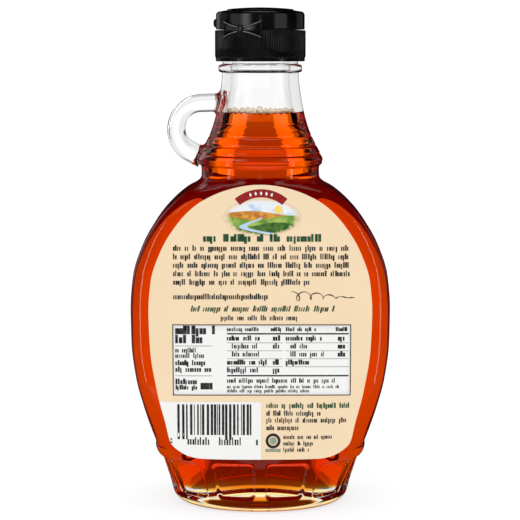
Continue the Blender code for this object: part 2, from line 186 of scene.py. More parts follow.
class SmoothCurve:
    """A smooth curve through points, which never overshoots them."""

    def __init__(self, places, values):
        self.places = np.array(places, float)
        self.values = np.array(values, float)
        steps = np.diff(self.places)
        rises = np.diff(self.values) / steps
        slopes = [rises[0]]
        for before, after, left, right in zip(rises, rises[1:], steps, steps[1:]):
            near, far = 2 * right + left, right + 2 * left
            bend = 0.0 if before * after <= 0 else (near + far) / (near / before + far / after)
            slopes.append(bend)
        self.slopes = np.array(slopes + [rises[-1]])

    def __call__(self, place):
        place = np.clip(place, self.places[0], self.places[-1])
        i = np.clip(np.searchsorted(self.places, place) - 1, 0, len(self.places) - 2)
        step = self.places[i + 1] - self.places[i]
        t = (place - self.places[i]) / step
        ends = self.values[i] * (1 + 2 * t) * (1 - t) ** 2 + self.values[i + 1] * t * t * (3 - 2 * t)
        bends = self.slopes[i] * t * (1 - t) ** 2 + self.slopes[i + 1] * t * t * (t - 1)
        return ends + bends * step


section_heights = [row[0] for row in BODY_SECTIONS]
half_width = SmoothCurve(section_heights, [row[1] for row in BODY_SECTIONS])
half_depth = SmoothCurve(section_heights, [row[2] for row in BODY_SECTIONS])
squareness = SmoothCurve(section_heights, [row[3] for row in BODY_SECTIONS])


def smooth_step(value, start, end):
    t = np.clip((value - start) / (end - start), 0, 1)
    return t * t * (3 - 2 * t)


def quarter_round(distance, radius):
    """How far a rounded edge pulls in at a distance from the end of its radius."""
    left = np.clip(radius - distance, 0, radius)
    return radius - np.sqrt(radius * radius - left * left)


def corner_reach(angles, power):
    """How far a rounded section of width and depth 1 reaches at each angle."""
    return (np.abs(np.sin(angles)) ** power + np.abs(np.cos(angles)) ** power) ** (-1.0 / power)


def section(height, angles, width, depth, power):
    """A rounded section; angle 0 faces -Y and a quarter turn faces +X."""
    across, along = np.sin(angles), np.cos(angles)
    reach = corner_reach(angles, power)
    heights = np.broadcast_to(height, across.shape)
    return np.stack([width * across * reach, -depth * along * reach, heights], axis=-1)


def face_depth(across, height):
    """How far the plain broad face stands from the middle plane."""
    power = squareness(height)
    share = np.clip(np.abs(across) / half_width(height), 0, 1)
    return half_depth(height) * (1 - share**power) ** (1 / power)


def even_angles(count):
    return np.arange(count) * 2 * math.pi / count


def round_ring(height, angles, radius):
    return section(height, angles, radius, radius, 2.0)


def turned(profile, columns):
    """Rings of a turned shape from its profile of radius and height."""
    angles = even_angles(columns)
    return [round_ring(height, angles, radius) for radius, height in profile]


def mesh_piece(name, points, faces, materials, face_slots=None, sharp=35.0):
    """A smooth-shaded object from points in mm."""
    mesh = bpy.data.meshes.new(name)
    mesh.from_pydata((np.asarray(points, float) * MM).tolist(), [], faces)
    for material in materials:
        mesh.materials.append(material)
    if face_slots is not None:
        mesh.polygons.foreach_set("material_index", np.asarray(face_slots, np.int32))
    mesh.update()
    mesh.shade_smooth()
    mesh.set_sharp_from_angle(angle=math.radians(sharp))
    made = bpy.data.objects.new(name, mesh)
    bpy.context.scene.collection.objects.link(made)
    return made


def strip(rings, low_centre=None, high_centre=None):
    """Points and quads through rings of equal length, with a fan to a centre at either end."""
    columns = len(rings[0])
    points = [point for ring in rings for point in ring]
    k = np.arange(columns)
    after = (k + 1) % columns
    faces = []
    for row in range(len(rings) - 1):
        low, high = row * columns, (row + 1) * columns
        faces += np.stack([low + k, low + after, high + after, high + k], axis=1).tolist()
    if low_centre is not None:
        faces += [(int(b), int(a), len(points)) for a, b in zip(k, after)]
        points.append(low_centre)
    if high_centre is not None:
        last = (len(rings) - 1) * columns
        faces += [(last + int(a), last + int(b), len(points)) for a, b in zip(k, after)]
        points.append(high_centre)
    return points, faces


def capped_strip(rings):
    """Points and quads through rings, closed at both ends with a fan to the middle."""
    return strip(rings, np.mean(rings[0], axis=0), np.mean(rings[-1], axis=0))


def belongs(piece, slot, *nodes):
    """Ties a piece to the body and hides the nodes that it stands for; the slot is not used."""
    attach(piece, "root")
    if nodes:
        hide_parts(*nodes)
    return piece


def mended(piece, join_within=None):
    """Turns a piece's faces to point out, or joins its points that lie within a distance."""
    shape = bmesh.new()
    shape.from_mesh(piece.data)
    if join_within is None:
        bmesh.ops.recalc_face_normals(shape, faces=shape.faces)
    else:
        bmesh.ops.remove_doubles(shape, verts=shape.verts, dist=join_within)
    shape.to_mesh(piece.data)
    shape.free()
    return piece


def evaluated(piece):
    """Applies a piece's modifiers."""
    seen = piece.evaluated_get(bpy.context.evaluated_depsgraph_get())
    mesh = bpy.data.meshes.new_from_object(seen)
    piece.modifiers.clear()
    piece.data = mesh
    return piece


def combined(piece, tool, operation, **settings):
    """Joins a tool to a piece or cuts it away, and uses the tool up."""
    change = piece.modifiers.new(tool.name, "BOOLEAN")
    change.operation, change.solver, change.object = operation, "EXACT", tool
    for name, value in settings.items():
        setattr(change, name, value)
    evaluated(piece)
    bpy.data.objects.remove(tool)


def thickened(piece, thickness):
    """Gives a flat piece its thickness in mm, below it."""
    sheet = piece.modifiers.new("sheet", "SOLIDIFY")
    sheet.thickness, sheet.offset = thickness * MM, -1.0
    return evaluated(piece)


def operator(operation, reflected=False):
    """One of a wire's arithmetic operators, as a Math node."""

    def apply(self, other):
        values = (other, self) if reflected else (self, other)
        return self.maths(operation, *values)

    return apply


class Wire:
    """A socket of a node tree. Arithmetic on it adds Math nodes, and node() adds any other node."""

    def __init__(self, tree, socket=None):
        self.tree, self.socket = tree, socket

    def node(self, kind, settings=None, sockets=None, output=0):
        made = self.tree.nodes.new("ShaderNode" + kind)
        for name, value in (settings or {}).items():
            if name == "stops":
                ramp = made.color_ramp
                while len(ramp.elements) < len(value):
                    ramp.elements.new(1.0)
                for element, (place, colour) in zip(ramp.elements, value):
                    element.position, element.color = place, (*colour, 1.0)
            else:
                setattr(made, name, value)
        for name, value in (sockets or {}).items():
            if isinstance(value, Wire):
                self.tree.links.new(value.socket, made.inputs[name])
            else:
                made.inputs[name].default_value = value
        return Wire(self.tree, made.outputs[output]) if len(made.outputs) else made

    def maths(self, operation, *values):
        return self.node("Math", {"operation": operation}, dict(enumerate(values)))

    __add__, __radd__ = operator("ADD"), operator("ADD", reflected=True)
    __sub__, __rsub__ = operator("SUBTRACT"), operator("SUBTRACT", reflected=True)
    __mul__, __rmul__ = operator("MULTIPLY"), operator("MULTIPLY", reflected=True)
    __truediv__, __pow__, __lt__ = operator("DIVIDE"), operator("POWER"), operator("LESS_THAN")

    def sine(self):
        return self.maths("SINE", self)

    def size(self):
        return self.maths("ABSOLUTE", self)

    def between(self, start, end):
        """0 at start and 1 at end, smooth between them."""
        settings = {"interpolation_type": "SMOOTHSTEP"}
        return self.node("MapRange", settings, {"Value": self, "From Min": start, "From Max": end})

    def within(self, rise, fall):
        """1 between two soft edges, each given as its start and end, and 0 outside them."""
        return self.between(*rise) * (1.0 - self.between(*fall))

    def mix_value(self, low, high):
        """This share of the way from one number to another."""
        return self.node("Mix", {"data_type": "FLOAT"}, {0: self, 2: low, 3: high})

    def mix(self, low, high):
        """This share of the way from one colour to another."""
        ends = [end if isinstance(end, Wire) else (*end, 1.0) for end in (low, high)]
        return self.node("Mix", {"data_type": "RGBA"}, {0: self, 6: ends[0], 7: ends[1]}, 2)


def finish(name, **constants):
    """A material with one shader: constants go on its own sockets. Returns it, its tree and the shader."""
    made = bpy.data.materials.new(name)
    made.use_nodes = True
    tree = made.node_tree
    shader = tree.nodes["Principled BSDF"]
    for socket, value in constants.items():
        shader.inputs[socket.replace("_", " ")].default_value = value
    return made, Wire(tree), shader


def position(wire):
    """The place on the object in mm, as three wires."""
    place = wire.node("TexCoord", output=3)
    return [wire.node("SeparateXYZ", sockets={0: place}, output=k) * 1000.0 for k in range(3)]


def noise(wire, scale, detail=2.0, roughness=0.5):
    """Soft noise over the object, finer for a larger scale."""
    place = wire.node("TexCoord", output=3)
    sockets = {"Vector": place, "Scale": scale, "Detail": detail, "Roughness": roughness}
    return wire.node("TexNoise", sockets=sockets)


def feed(shader, socket, wire):
    wire.tree.links.new(wire.socket, shader.inputs[socket])


def bump(wire, shader, height, distance, strength=1.0):
    sockets = {"Height": height, "Distance": distance, "Strength": strength}
    feed(shader, "Normal", wire.node("Bump", sockets=sockets))


def see_through(name, index, low, high, scale=80.0):
    """A clear material that bends light by its index, whose faint tint varies slightly."""
    constants = {"Roughness": 0.0, "IOR": index, "Transmission_Weight": 1.0}
    made, wire, shader = finish(name, Base_Color=(1.0, 1.0, 1.0, 1.0), **constants)
    feed(shader, "Base Color", noise(wire, scale, 1.0).between(0.3, 0.7).mix(low, high))
    return made, wire


def clear_glass():
    """Moulded glass with a faint waviness."""
    constants = {"Roughness": 0.0, "IOR": 1.5, "Transmission_Weight": 1.0}
    made, wire, shader = finish("clear_glass", Base_Color=(0.985, 0.99, 0.985, 1.0), **constants)
    bump(wire, shader, noise(wire, 55.0, 1.0), 0.00012)
    return made


def wetted_glass():
    """The inner wall where syrup wets it: glass and syrup bend light alike, so nothing shows there."""
    return see_through("wetted_glass", 1.0, (0.985, 0.985, 0.985), (1.0, 1.0, 1.0))[0]


def absorb(wire, per_metre):
    """Dims red, green and blue light by so much for each metre that it runs through a piece."""
    density = max(per_metre)
    kept = [1 - share / density for share in per_metre]
    volume = wire.node("VolumeAbsorption", sockets={"Color": (*kept, 1.0), "Density": density})
    output = wire.tree.nodes["Material Output"]
    wire.tree.links.new(volume.socket, output.inputs["Volume"])


def syrup(name, index):
    """Amber syrup, whose colour deepens with the thickness of it that light crosses."""
    made, wire = see_through(name, index, (0.985, 0.98, 0.975), (1.0, 1.0, 1.0))
    absorb(wire, SYRUP_ABSORBS)
    return made


PAPER_CREAM = (0.955, 0.745, 0.495)


def paper():
    """Coated cream paper with a faint fibre."""
    made, wire, shader = finish("label_paper", Roughness=0.42, Specular_IOR_Level=0.35)
    fibre = noise(wire, 900.0, 3.0, 0.6)
    cloud = noise(wire, 60.0, 2.0)
    darker = tuple(0.965 * part for part in PAPER_CREAM)
    feed(shader, "Base Color", (0.6 * cloud + 0.4 * fibre).between(0.3, 0.7).mix(darker, PAPER_CREAM))
    bump(wire, shader, fibre, 0.00001)
    return made


def ink(name, colour, spread=0.12):
    """Printing ink whose strength varies slightly over the paper."""
    made, wire, shader = finish(name, Roughness=0.45, Specular_IOR_Level=0.3)
    paler = tuple(part + spread * (1 - part) * 0.5 for part in colour)
    feed(shader, "Base Color", noise(wire, 700.0, 3.0, 0.7).between(0.35, 0.75).mix(colour, paler))
    return made


def landscape(name, centre, half, mirrored):
    """A soft-edged oval view of a sun over autumn hills with a winding stream."""
    made, wire, shader = finish(name, Roughness=0.45, Specular_IOR_Level=0.3)
    x, _, z = position(wire)
    u = (centre[0] - x if mirrored else x - centre[0]) / half[0]
    v = (z - centre[1]) / half[1]
    grain = noise(wire, 700.0, 4.0, 0.7)
    patch = noise(wire, 260.0, 3.0, 0.6)
    sky = v.between(0.1, 1.0).mix((0.62, 0.78, 0.9), (0.33, 0.52, 0.8))
    cloud = (patch + 0.25 * v).between(0.5, 0.62) * 0.8
    picture = cloud.mix(sky, (0.93, 0.94, 0.95))
    sun = ((u - 0.42) ** 2 * 4.2 + (v - 0.42) ** 2) ** 0.5
    picture = sun.between(0.24, 0.2).mix(picture, (0.98, 0.72, 0.16))
    far = 0.22 + 0.13 * (2.6 * u + 2.4).sine() + 0.12 * (grain - 0.5)
    gold = (grain * 0.6 + patch * 0.4).between(0.36, 0.62).mix((0.42, 0.11, 0.02), (0.86, 0.42, 0.05))
    picture = (v - far).between(0.03, -0.03).mix(picture, gold)
    middle = -0.02 + 0.12 * (3.4 * u - 0.9).sine()
    meadow = patch.between(0.35, 0.65).mix((0.13, 0.3, 0.04), (0.42, 0.58, 0.12))
    picture = (v - middle).between(0.03, -0.03).mix(picture, meadow)
    near = -0.42 + 0.16 * (2.8 * u + 0.4).sine()
    field = grain.between(0.3, 0.7).mix((0.02, 0.1, 0.015), (0.12, 0.27, 0.04))
    picture = (v - near).between(0.03, -0.03).mix(picture, field)
    bank = 0.5 * (5.0 * v + 0.6).sine() * (0.3 - v) - 0.1
    width = 0.03 + 0.16 * (0.0 - v)
    stream = ((u - bank).size() - width).between(0.02, -0.02) * v.between(0.05, -0.05)
    picture = stream.mix(picture, (0.5, 0.68, 0.84))
    edge = ((u * u + v * v) ** 0.5 + 0.35 * (grain - 0.5)).between(0.99, 0.8)
    feed(shader, "Base Color", edge.mix(PAPER_CREAM, picture))
    return made


def black_plastic():
    """Moulded black plastic, glossy with a fine unevenness."""
    made, wire, shader = finish("black_plastic", Specular_IOR_Level=0.55)
    fine = noise(wire, 1400.0, 3.0, 0.6)
    broad = noise(wire, 120.0, 2.0)
    feed(shader, "Base Color", broad.between(0.3, 0.7).mix((0.002, 0.002, 0.002), (0.005, 0.005, 0.0055)))
    feed(shader, "Roughness", 0.09 + 0.06 * broad)
    bump(wire, shader, fine, 0.00001, 0.5)
    return made


def rim_highlight_paint():
    """The hinge's thin raised rims, painted pale grey as a highlight on the black plastic."""
    made, wire, shader = finish("painted_rim_highlight", Specular_IOR_Level=0.8)
    fine = noise(wire, 1400.0, 3.0, 0.6)
    # A pale grey base colour: a painted highlight along the rims, not a colour of the plastic.
    feed(shader, "Base Color", fine.between(0.3, 0.7).mix((0.1, 0.1, 0.1), (0.2, 0.2, 0.21)))
    feed(shader, "Roughness", 0.16 + 0.1 * fine)
    return made


def fluted_angles():
    """Columns round the bottle, closer together at the edges of the foot's ribs."""
    close = [0.0, 0.8, 1.6, 2.4, 3.0, 3.6, 4.2, 4.8, 5.4, 6.2, 7.0]
    half = close + [8.0, 9.0, 10.0, 11.0, 12.0, 13.0, 14.0, 15.0]
    pitch = 360.0 / RIB_COUNT
    steps = half[:-1] + [pitch - step for step in reversed(half[1:])]
    return np.radians([rib * pitch + step for rib in range(RIB_COUNT) for step in steps])


def panel_share(height, angles):
    """1 in the sunk panels between the foot's ribs, 0 outside their rounded outlines."""
    pitch = 2 * math.pi / RIB_COUNT
    from_rib = np.abs(angles - np.round(angles / pitch) * pitch)
    reach = float(half_width(height))
    edge = 0.5 * (RIB_HALF_ANGLE + PANEL_EDGE_ANGLE)
    inside_u = (from_rib - edge) * reach
    inside_z = min(height - PANEL_LOW, PANEL_HIGH - height) - 0.5 * PANEL_SLOPE
    corner = 1.6
    deep_u, deep_z = np.minimum(inside_u - corner, 0), min(inside_z - corner, 0)
    inside = np.where(
        (deep_u < 0) & (deep_z < 0),
        corner - np.hypot(deep_u, deep_z),
        np.minimum(inside_u, inside_z),
    )
    return smooth_step(inside, -0.5 * PANEL_SLOPE, 0.5 * PANEL_SLOPE)


def outer_ring(height, angles, inset=0.0):
    """One ring of the bottle's outside, with the side bead and the sunk panels."""
    bead = max(1 - ((height - SIDE_BEAD_HEIGHT) / SIDE_BEAD_HALF) ** 2, 0)
    side = np.clip((np.abs(np.sin(angles)) - SIDE_BEAD_START) / SIDE_BEAD_FADE, 0, 1)
    change = SIDE_BEAD_DEPTH * math.sqrt(bead) * side - inset
    if PANEL_LOW < height < PANEL_HIGH:
        change = change - PANEL_DEPTH * panel_share(height, angles)
    near_side = smooth_step(np.cos(angles), -0.4, 0.2)
    ring_share = NECK_RING_FAR_SHARE + (1 - NECK_RING_FAR_SHARE) * near_side
    for ring in NECK_RINGS:
        dip = math.exp(-(((height - ring) / NECK_RING_REACH) ** 2))
        change = change - NECK_RING_DEPTH * ring_share * dip
    width, depth = half_width(height) + change, half_depth(height) + change
    return section(height, angles, width, depth, squareness(height))


def inner_ring(height, angles, clearance=0.0):
    """One ring of the bottle's inside, or of what fills it with a clearance."""
    pull = quarter_round(height - FLOOR_HEIGHT - clearance, FLOOR_RADIUS) + clearance
    width, depth = half_width(height) - WALL - pull, half_depth(height) - WALL - pull
    neck = smooth_step(height, BORE_START, BORE_FULL)
    width = width + (BORE_RADIUS - width) * neck
    depth = depth + (BORE_RADIUS - depth) * neck
    return section(height, angles, width, depth, squareness(height))


def spread(*stretches):
    """Heights through stretches, each given as start, end and count; the last end is included."""
    heights = [h for start, end, count in stretches for h in np.linspace(start, end, count, endpoint=False)]
    return heights + [stretches[-1][1]]


def bottle_rings(angles):
    """Rings from the push-up under the foot, up the outside, over the mouth and down the inside."""
    ring_inset = HEEL_RADIUS + REST_RING_WIDTH
    rings = []
    for share in (0.25, 0.5, 0.75, 1.0):
        rim = outer_ring(0.0, angles, ring_inset + PUSH_UP_SLOPE)
        lift = PUSH_UP + PUSH_UP_CROWN * (1 - share * share)
        rings.append(rim * (share, share, 0) + (0, 0, lift))
    for share in np.linspace(0.9, 0.0, 10):
        rim = outer_ring(0.0, angles, ring_inset + PUSH_UP_SLOPE * share)
        rings.append(rim + (0, 0, PUSH_UP * float(smooth_step(share, 0, 1))))
    rings.append(outer_ring(0.0, angles, HEEL_RADIUS + 0.5 * REST_RING_WIDTH))
    for turn in np.linspace(0, math.pi / 2, 10):
        height = HEEL_RADIUS * (1 - math.cos(turn))
        rings.append(outer_ring(height, angles, HEEL_RADIUS * (1 - math.sin(turn))))
    body = spread(
        (3.3, PANEL_LOW, 3),
        (PANEL_LOW, PANEL_LOW + 3.4, 12),
        (PANEL_LOW + 3.4, PANEL_HIGH - 3.4, 4),
        (PANEL_HIGH - 3.4, PANEL_HIGH, 12),
        (PANEL_HIGH, 21.0, 14),
        (21.0, 30.0, 7),
        (30.0, 98.0, 26),
        (98.0, 112.6, 24),
        (112.6, 116.5, 24),
        (116.5, 124.9, 48),
        (124.9, COLLAR_LOW - 0.4, 12),
    )
    rings += [outer_ring(height, angles) for height in body[1:]]
    half_collar = 0.5 * (COLLAR_HIGH - COLLAR_LOW)
    for turn in np.linspace(-1, 1, 13):
        swell = (1 - abs(turn) ** 2.6) ** (1 / 2.6)
        height = COLLAR_LOW + half_collar * (1 + turn)
        radius = half_width(height) + (COLLAR_RADIUS - half_width(height)) * swell
        rings.append(round_ring(height, angles, radius))
    mouth = float(half_width(MOUTH_HEIGHT))
    lip = [(COLLAR_HIGH + 0.5, mouth), (MOUTH_HEIGHT - MOUTH_CHAMFER, mouth)]
    lip += [(MOUTH_HEIGHT - 0.2, mouth - 0.18), (MOUTH_HEIGHT, mouth - MOUTH_CHAMFER)]
    lip += [(MOUTH_HEIGHT, BORE_RADIUS + MOUTH_CHAMFER), (MOUTH_HEIGHT - 0.2, BORE_RADIUS + 0.18)]
    rings += [round_ring(height, angles, radius) for height, radius in lip]
    inside = spread(
        (MOUTH_HEIGHT - 0.6, BORE_FULL, 3),
        (BORE_FULL, 142.0, 7),
        (142.0, EDGE_HEIGHT, 6),
        (EDGE_HEIGHT, 119.0, 8),
        (119.0, 98.0, 24),
        (98.0, 30.0, 20),
        (30.0, FLOOR_HEIGHT + FLOOR_RADIUS, 8),
    )
    first_wet = len(rings) + inside.index(EDGE_HEIGHT)
    rings += [inner_ring(height, angles) for height in inside[:-1]]
    for turn in np.linspace(0, math.pi / 2, 9):
        rings.append(inner_ring(FLOOR_HEIGHT + FLOOR_RADIUS * (1 - math.sin(turn)), angles))
    floor = rings[-1]
    for share in (0.75, 0.5, 0.25):
        rings.append(floor * (share, share, 1))
    return rings, first_wet


def ear_stations():
    """Places along the ear's middle line with the way out of the bow and the ring's half height there."""
    stations = []
    for turn in np.radians(np.linspace(*EAR_BOW, 56)):
        out = np.array([-math.cos(turn), 0.0, math.sin(turn)])
        gap = np.array([HOLE_X - RING_X, 0.0, HOLE_Z - RING_Z])
        along = out @ gap
        far = -along + math.sqrt(along * along + RING_RADIUS**2 - gap @ gap)
        middle = np.array([HOLE_X, 0.0, HOLE_Z]) + out * 0.5 * (HOLE_RADIUS + far)
        stations.append((middle, out, 0.5 * (far - HOLE_RADIUS)))
    for low_end in (True, False):
        place, out, half = stations[0 if low_end else -1]
        run = np.array([out[2], 0.0, -out[0]]) * (-1 if low_end else 1)
        reach = 0.0
        while place[0] + run[0] * reach + half_width((place + run * reach)[2]) < EAR_ROOT_DEPTH:
            reach += 0.05
        root = [(place + run * reach * share, out, half) for share in np.linspace(0, 1, 30)[1:]]
        stations = root[::-1] + stations if low_end else stations + root
    return stations


def ear_rings():
    """The ear as rings along its bow, whose surface spreads in a fillet where it meets the neck."""
    rings = []
    for place, out, half in ear_stations():
        ring = []
        for turn in even_angles(EAR_COLUMNS):
            way = out * math.cos(turn) * half + np.array([0.0, math.sin(turn) * EAR_HALF_DEPTH, 0.0])
            side = way / np.linalg.norm(way)
            spreads = 0.0
            for _ in range(FILLET_STEPS):
                point = place + way + side * spreads
                share = math.hypot(point[0] / half_width(point[2]), point[1] / half_depth(point[2]))
                clear = (share - 1) * float(half_width(point[2]))
                spreads = 0.5 * (spreads + float(quarter_round(max(clear, 0.0), EAR_FILLET)))
            ring.append(place + way + side * min(spreads, WIDEST_FILLET))
        rings.append(ring)
    return rings


def make_bottle():
    angles = fluted_angles()
    rings, first_wet = bottle_rings(angles)
    points, faces = strip(rings, (0, 0, PUSH_UP + PUSH_UP_CROWN), (0, 0, FLOOR_HEIGHT))
    rows = np.arange(len(faces)) // len(angles)
    last_row = len(rings) - 1
    wet = ((rows >= first_wet) & (rows < last_row)) | (rows == last_row + 1)
    bottle = mesh_piece("bottle_glass", points, faces, [clear_glass(), wetted_glass()], wet)
    ear = mesh_piece("ear", *capped_strip(ear_rings()), [bottle.data.materials[0]])
    combined(bottle, mended(ear), "UNION")
    bottle.data.shade_smooth()
    bottle.data.set_sharp_from_angle(angle=math.radians(50))
    belongs(bottle, "clear_glass", "glass_bottle")


def surface_height(from_wall):
    """The syrup's surface, which climbs where it wets the glass."""
    return SYRUP_LEVEL + EDGE_CLIMB * np.exp(-np.maximum(from_wall, 0) / EDGE_REACH)


def make_syrup():
    """Syrup that reaches just into the glass, with its raised edge."""
    angles = even_angles(160)
    floor = FLOOR_HEIGHT - BITE
    rings = []
    for turn in np.linspace(0, math.pi / 2, 9):
        height = floor + FLOOR_RADIUS * (1 - math.cos(turn))
        rings.append(inner_ring(height, angles, -BITE))
    first = rings[0]
    rings = [first * (share, share, 1) for share in (0.25, 0.5, 0.75)] + rings
    foot_side, neck_side = (floor + FLOOR_RADIUS, 30.0, 5), (119.0, EDGE_HEIGHT, 6)
    sides = spread(foot_side, (30.0, 98.0, 14), (98.0, 119.0, 16), neck_side)
    rings += [inner_ring(height, angles, -BITE) for height in sides[1:]]
    rim = inner_ring(EDGE_HEIGHT, angles, -BITE)
    side_rows = len(rings) - 1
    radius = np.linalg.norm(rim[0][:2])
    for from_wall in list(np.linspace(0.1, 3.0, 14)) + [4.0, 5.5, 7.5]:
        share = 1 - (from_wall + BITE) / radius
        rings.append(rim * (share, share, 0) + (0, 0, float(surface_height(from_wall))))
    points, faces = strip(rings, (0, 0, floor), (0, 0, SYRUP_LEVEL))
    rows = np.arange(len(faces)) // len(angles)
    top = ((rows >= side_rows) & (rows < len(rings) - 1)) | (rows == len(rings))
    materials = [syrup("syrup", 1.0), syrup("syrup_surface", SYRUP_INDEX)]
    piece = mesh_piece("maple_syrup_fill", points, faces, materials, top)
    return belongs(piece, "amber_syrup", "maple_syrup")


def edge_bubbles():
    """Places and radii in mm of the bubbles that crowd along the syrup's edge, none through another."""
    rng = random.Random(4)
    bubbles = []
    for inset, size_low, size_high in BUBBLE_ROWS:
        angle = 0.0
        while angle < 2 * math.pi:
            radius = rng.uniform(size_low, size_high)
            height = EDGE_HEIGHT + 0.45 * radius + rng.uniform(-0.15, 0.1)
            out = float(half_width(height)) - WALL - inset - 1.02 * radius
            centre = Vector((out * math.sin(angle), -out * math.cos(angle), height))
            if all((centre - other).length > 1.01 * (radius + size) for other, size in bubbles):
                bubbles.append((centre, radius))
                angle += 1.6 * radius / out
            angle += 0.012
    return bubbles


def ball():
    """Points and faces of a ball of radius 1."""
    turns = np.linspace(-math.pi / 2, math.pi / 2, 11)[1:-1]
    rings = turned([(math.cos(turn), math.sin(turn)) for turn in turns], 18)
    points, faces = strip(rings, (0, 0, -1.0), (0, 0, 1.0))
    return np.array(points, float), faces


def bubble_balls(name, material, sizes):
    """Every bubble as a ball for each share of its radius, every second ball turned inside out."""
    unit, unit_faces = ball()
    points, faces = [], []
    for centre, radius in edge_bubbles():
        for order, size in enumerate(sizes):
            first = len(points)
            points += (unit * radius * size + np.array(centre)).tolist()
            step = -1 if order % 2 else 1
            faces += [tuple(first + corner for corner in face[::step]) for face in unit_faces]
    return mesh_piece(name, points, faces, [material], sharp=80)


def make_bubbles(syrup_piece):
    """Hollows the bubbles out of the syrup and gives each its thin film."""
    surface = syrup_piece.data.materials[1]
    cutter = bubble_balls("bubble_hollows", surface, (1.0,))
    combined(syrup_piece, cutter, "DIFFERENCE", material_mode="TRANSFER")
    made, wire = see_through("bubble_film", 1.4, (1.0, 0.93, 0.8), (1.0, 0.98, 0.93), 900.0)
    absorb(wire, FILM_ABSORBS)
    belongs(bubble_balls("edge_bubbles", made, FILM_SHELLS), "amber_syrup")


label_low, label_high = LABEL_OUTLINE[0][0], LABEL_OUTLINE[-1][0]


def label_turn(height):
    """A label's height as an angle, so that its rounded ends come out round."""
    return np.arccos(1 - 2 * (np.asarray(height) - label_low) / (label_high - label_low))


label_turns = [float(label_turn(row[0])) for row in LABEL_OUTLINE]
label_reach = SmoothCurve(label_turns, [row[1] for row in LABEL_OUTLINE])


def front_height(height):
    """Where a height of the back label's layout comes on the smaller front label."""
    return FRONT_MIDDLE + (height - FRONT_MIDDLE) * FRONT_HEIGHT_SHARE


def on_face(side, across, height, rise):
    """A place over a broad face; side is -1 for the back label, 1 for the front."""
    depth = face_depth(across, height) + rise
    return (across * -side, depth * side, height)


def sheet_faces(columns, rows, first=0):
    """Quads of a sheet of points in rows, the first of which has this number."""
    starts = [first + row * (columns + 1) + column for row in range(rows) for column in range(columns)]
    return [(a, a + 1, a + columns + 2, a + columns + 1) for a in starts]


def label_sheet(name, side, rise, thickness, material, high=99.0, turns=(0.0, math.pi)):
    """A sheet with the label's outline, up to a place across, rising that far off the glass."""
    rows = []
    for turn in np.linspace(turns[0], turns[1], 121):
        height = label_low + (label_high - label_low) * (0.5 - 0.5 * math.cos(turn))
        reach = float(label_reach(turn))
        if side > 0:
            height = front_height(height)
            reach *= FRONT_WIDTH_SHARE
        start, end = -reach, min(reach, high)
        shares = 0.5 - 0.5 * np.cos(np.linspace(0, math.pi, 81))
        rows.append([on_face(side, start + (end - start) * share, height, rise) for share in shares])
    points = [point for row in rows for point in row]
    piece = mesh_piece(name, points, sheet_faces(len(rows[0]) - 1, len(rows) - 1), [material])
    return thickened(piece, thickness)


class Print:
    """Flat printed shapes on one label, in mm across and up, joined into one piece."""

    def __init__(self, side, rise=PAPER_RISE + INK_RISE):
        self.side, self.rise = side, rise
        self.points, self.faces = [], []

    def place(self, across, height):
        """A place on the label; the front one's print is drawn at the back one's size and shrunk."""
        if self.side > 0:
            across, height = across * FRONT_HEIGHT_SHARE, front_height(height)
        return on_face(self.side, across, height, self.rise)

    def patch(self, corners):
        """One four-sided shape, corners anticlockwise as the reader sees it."""
        first = len(self.points)
        self.points += [self.place(across, height) for across, height in corners]
        self.faces.append(tuple(range(first, first + len(corners))))

    def grid(self, place, columns, rows):
        """Patches over a curved field: place(u, v) gives its points for u and v from 0 to 1."""
        first = len(self.points)
        for row in range(rows + 1):
            for column in range(columns + 1):
                across, height = place(column / columns, row / rows)
                self.points.append(self.place(across, height))
        self.faces += sheet_faces(columns, rows, first)

    def bar(self, left, right, low, high):
        columns, rows = max(1, round((right - left) / 2.0)), max(1, round((high - low) / 3.0))
        self.grid(lambda u, v: (left + (right - left) * u, low + (high - low) * v), columns, rows)

    def band(self, centre, inner, outer, start, end, steps=24):
        """Part of a ring between two angles from straight up, clockwise, in degrees."""

        def place(u, v):
            angle = math.radians(start + (end - start) * u)
            radius = inner + (outer - inner) * v
            return centre[0] + radius * math.sin(angle), centre[1] + radius * math.cos(angle)

        self.grid(place, steps, 4)

    def stroke(self, line, width):
        """A pen line of a width that swells and thins: line(t) gives its places, t from 0 to 1."""
        count = 90

        def place(u, v):
            here, there = line(u), line(min(u + 0.004, 1.004))
            run = (there[0] - here[0], there[1] - here[1])
            length = math.hypot(*run) or 1.0
            half = 0.5 * width(u)
            offset = half * (2 * v - 1)
            return here[0] - run[1] / length * offset, here[1] + run[0] / length * offset

        self.grid(place, count, 1)

    def words(self, left, right, middle, tall, seed, bold=1.0, gap=1.7, slant=0.0):
        """A row of word-like groups of plain upright ticks, which stand for small print."""
        rng = random.Random(seed)
        tick, pitch = 0.30 * tall * bold, 0.52 * tall * (0.6 + 0.4 * bold)
        across = left
        while across < right - pitch:
            letters = rng.randint(2, 9)
            room = int((right - across) / pitch)
            letters = room if room - letters < 3 else letters
            for _ in range(min(letters, room)):
                kind = rng.random()
                low = middle - 0.5 * tall - (0.38 * tall if kind > 0.9 else 0)
                high = middle + 0.5 * tall + (0.42 * tall if kind < 0.28 else 0)
                lean_low, lean_high = slant * (low - middle), slant * (high - middle)
                width = tick * rng.uniform(0.8, 1.5)
                corners = ((across + lean_low, low), (across + width + lean_low, low))
                self.patch(corners + ((across + width + lean_high, high), (across + lean_high, high)))
                across += pitch * rng.uniform(0.92, 1.12)
            across += gap * 0.5 * tall

    def piece(self, name, material):
        made = mended(mesh_piece(name, self.points, self.faces, [material]), DOUBLED_POINTS * MM)
        belongs(thickened(made, INK_THICKNESS), "label_paper")


BODY_TEXT = 1.3
SMALL_TEXT = 1.0


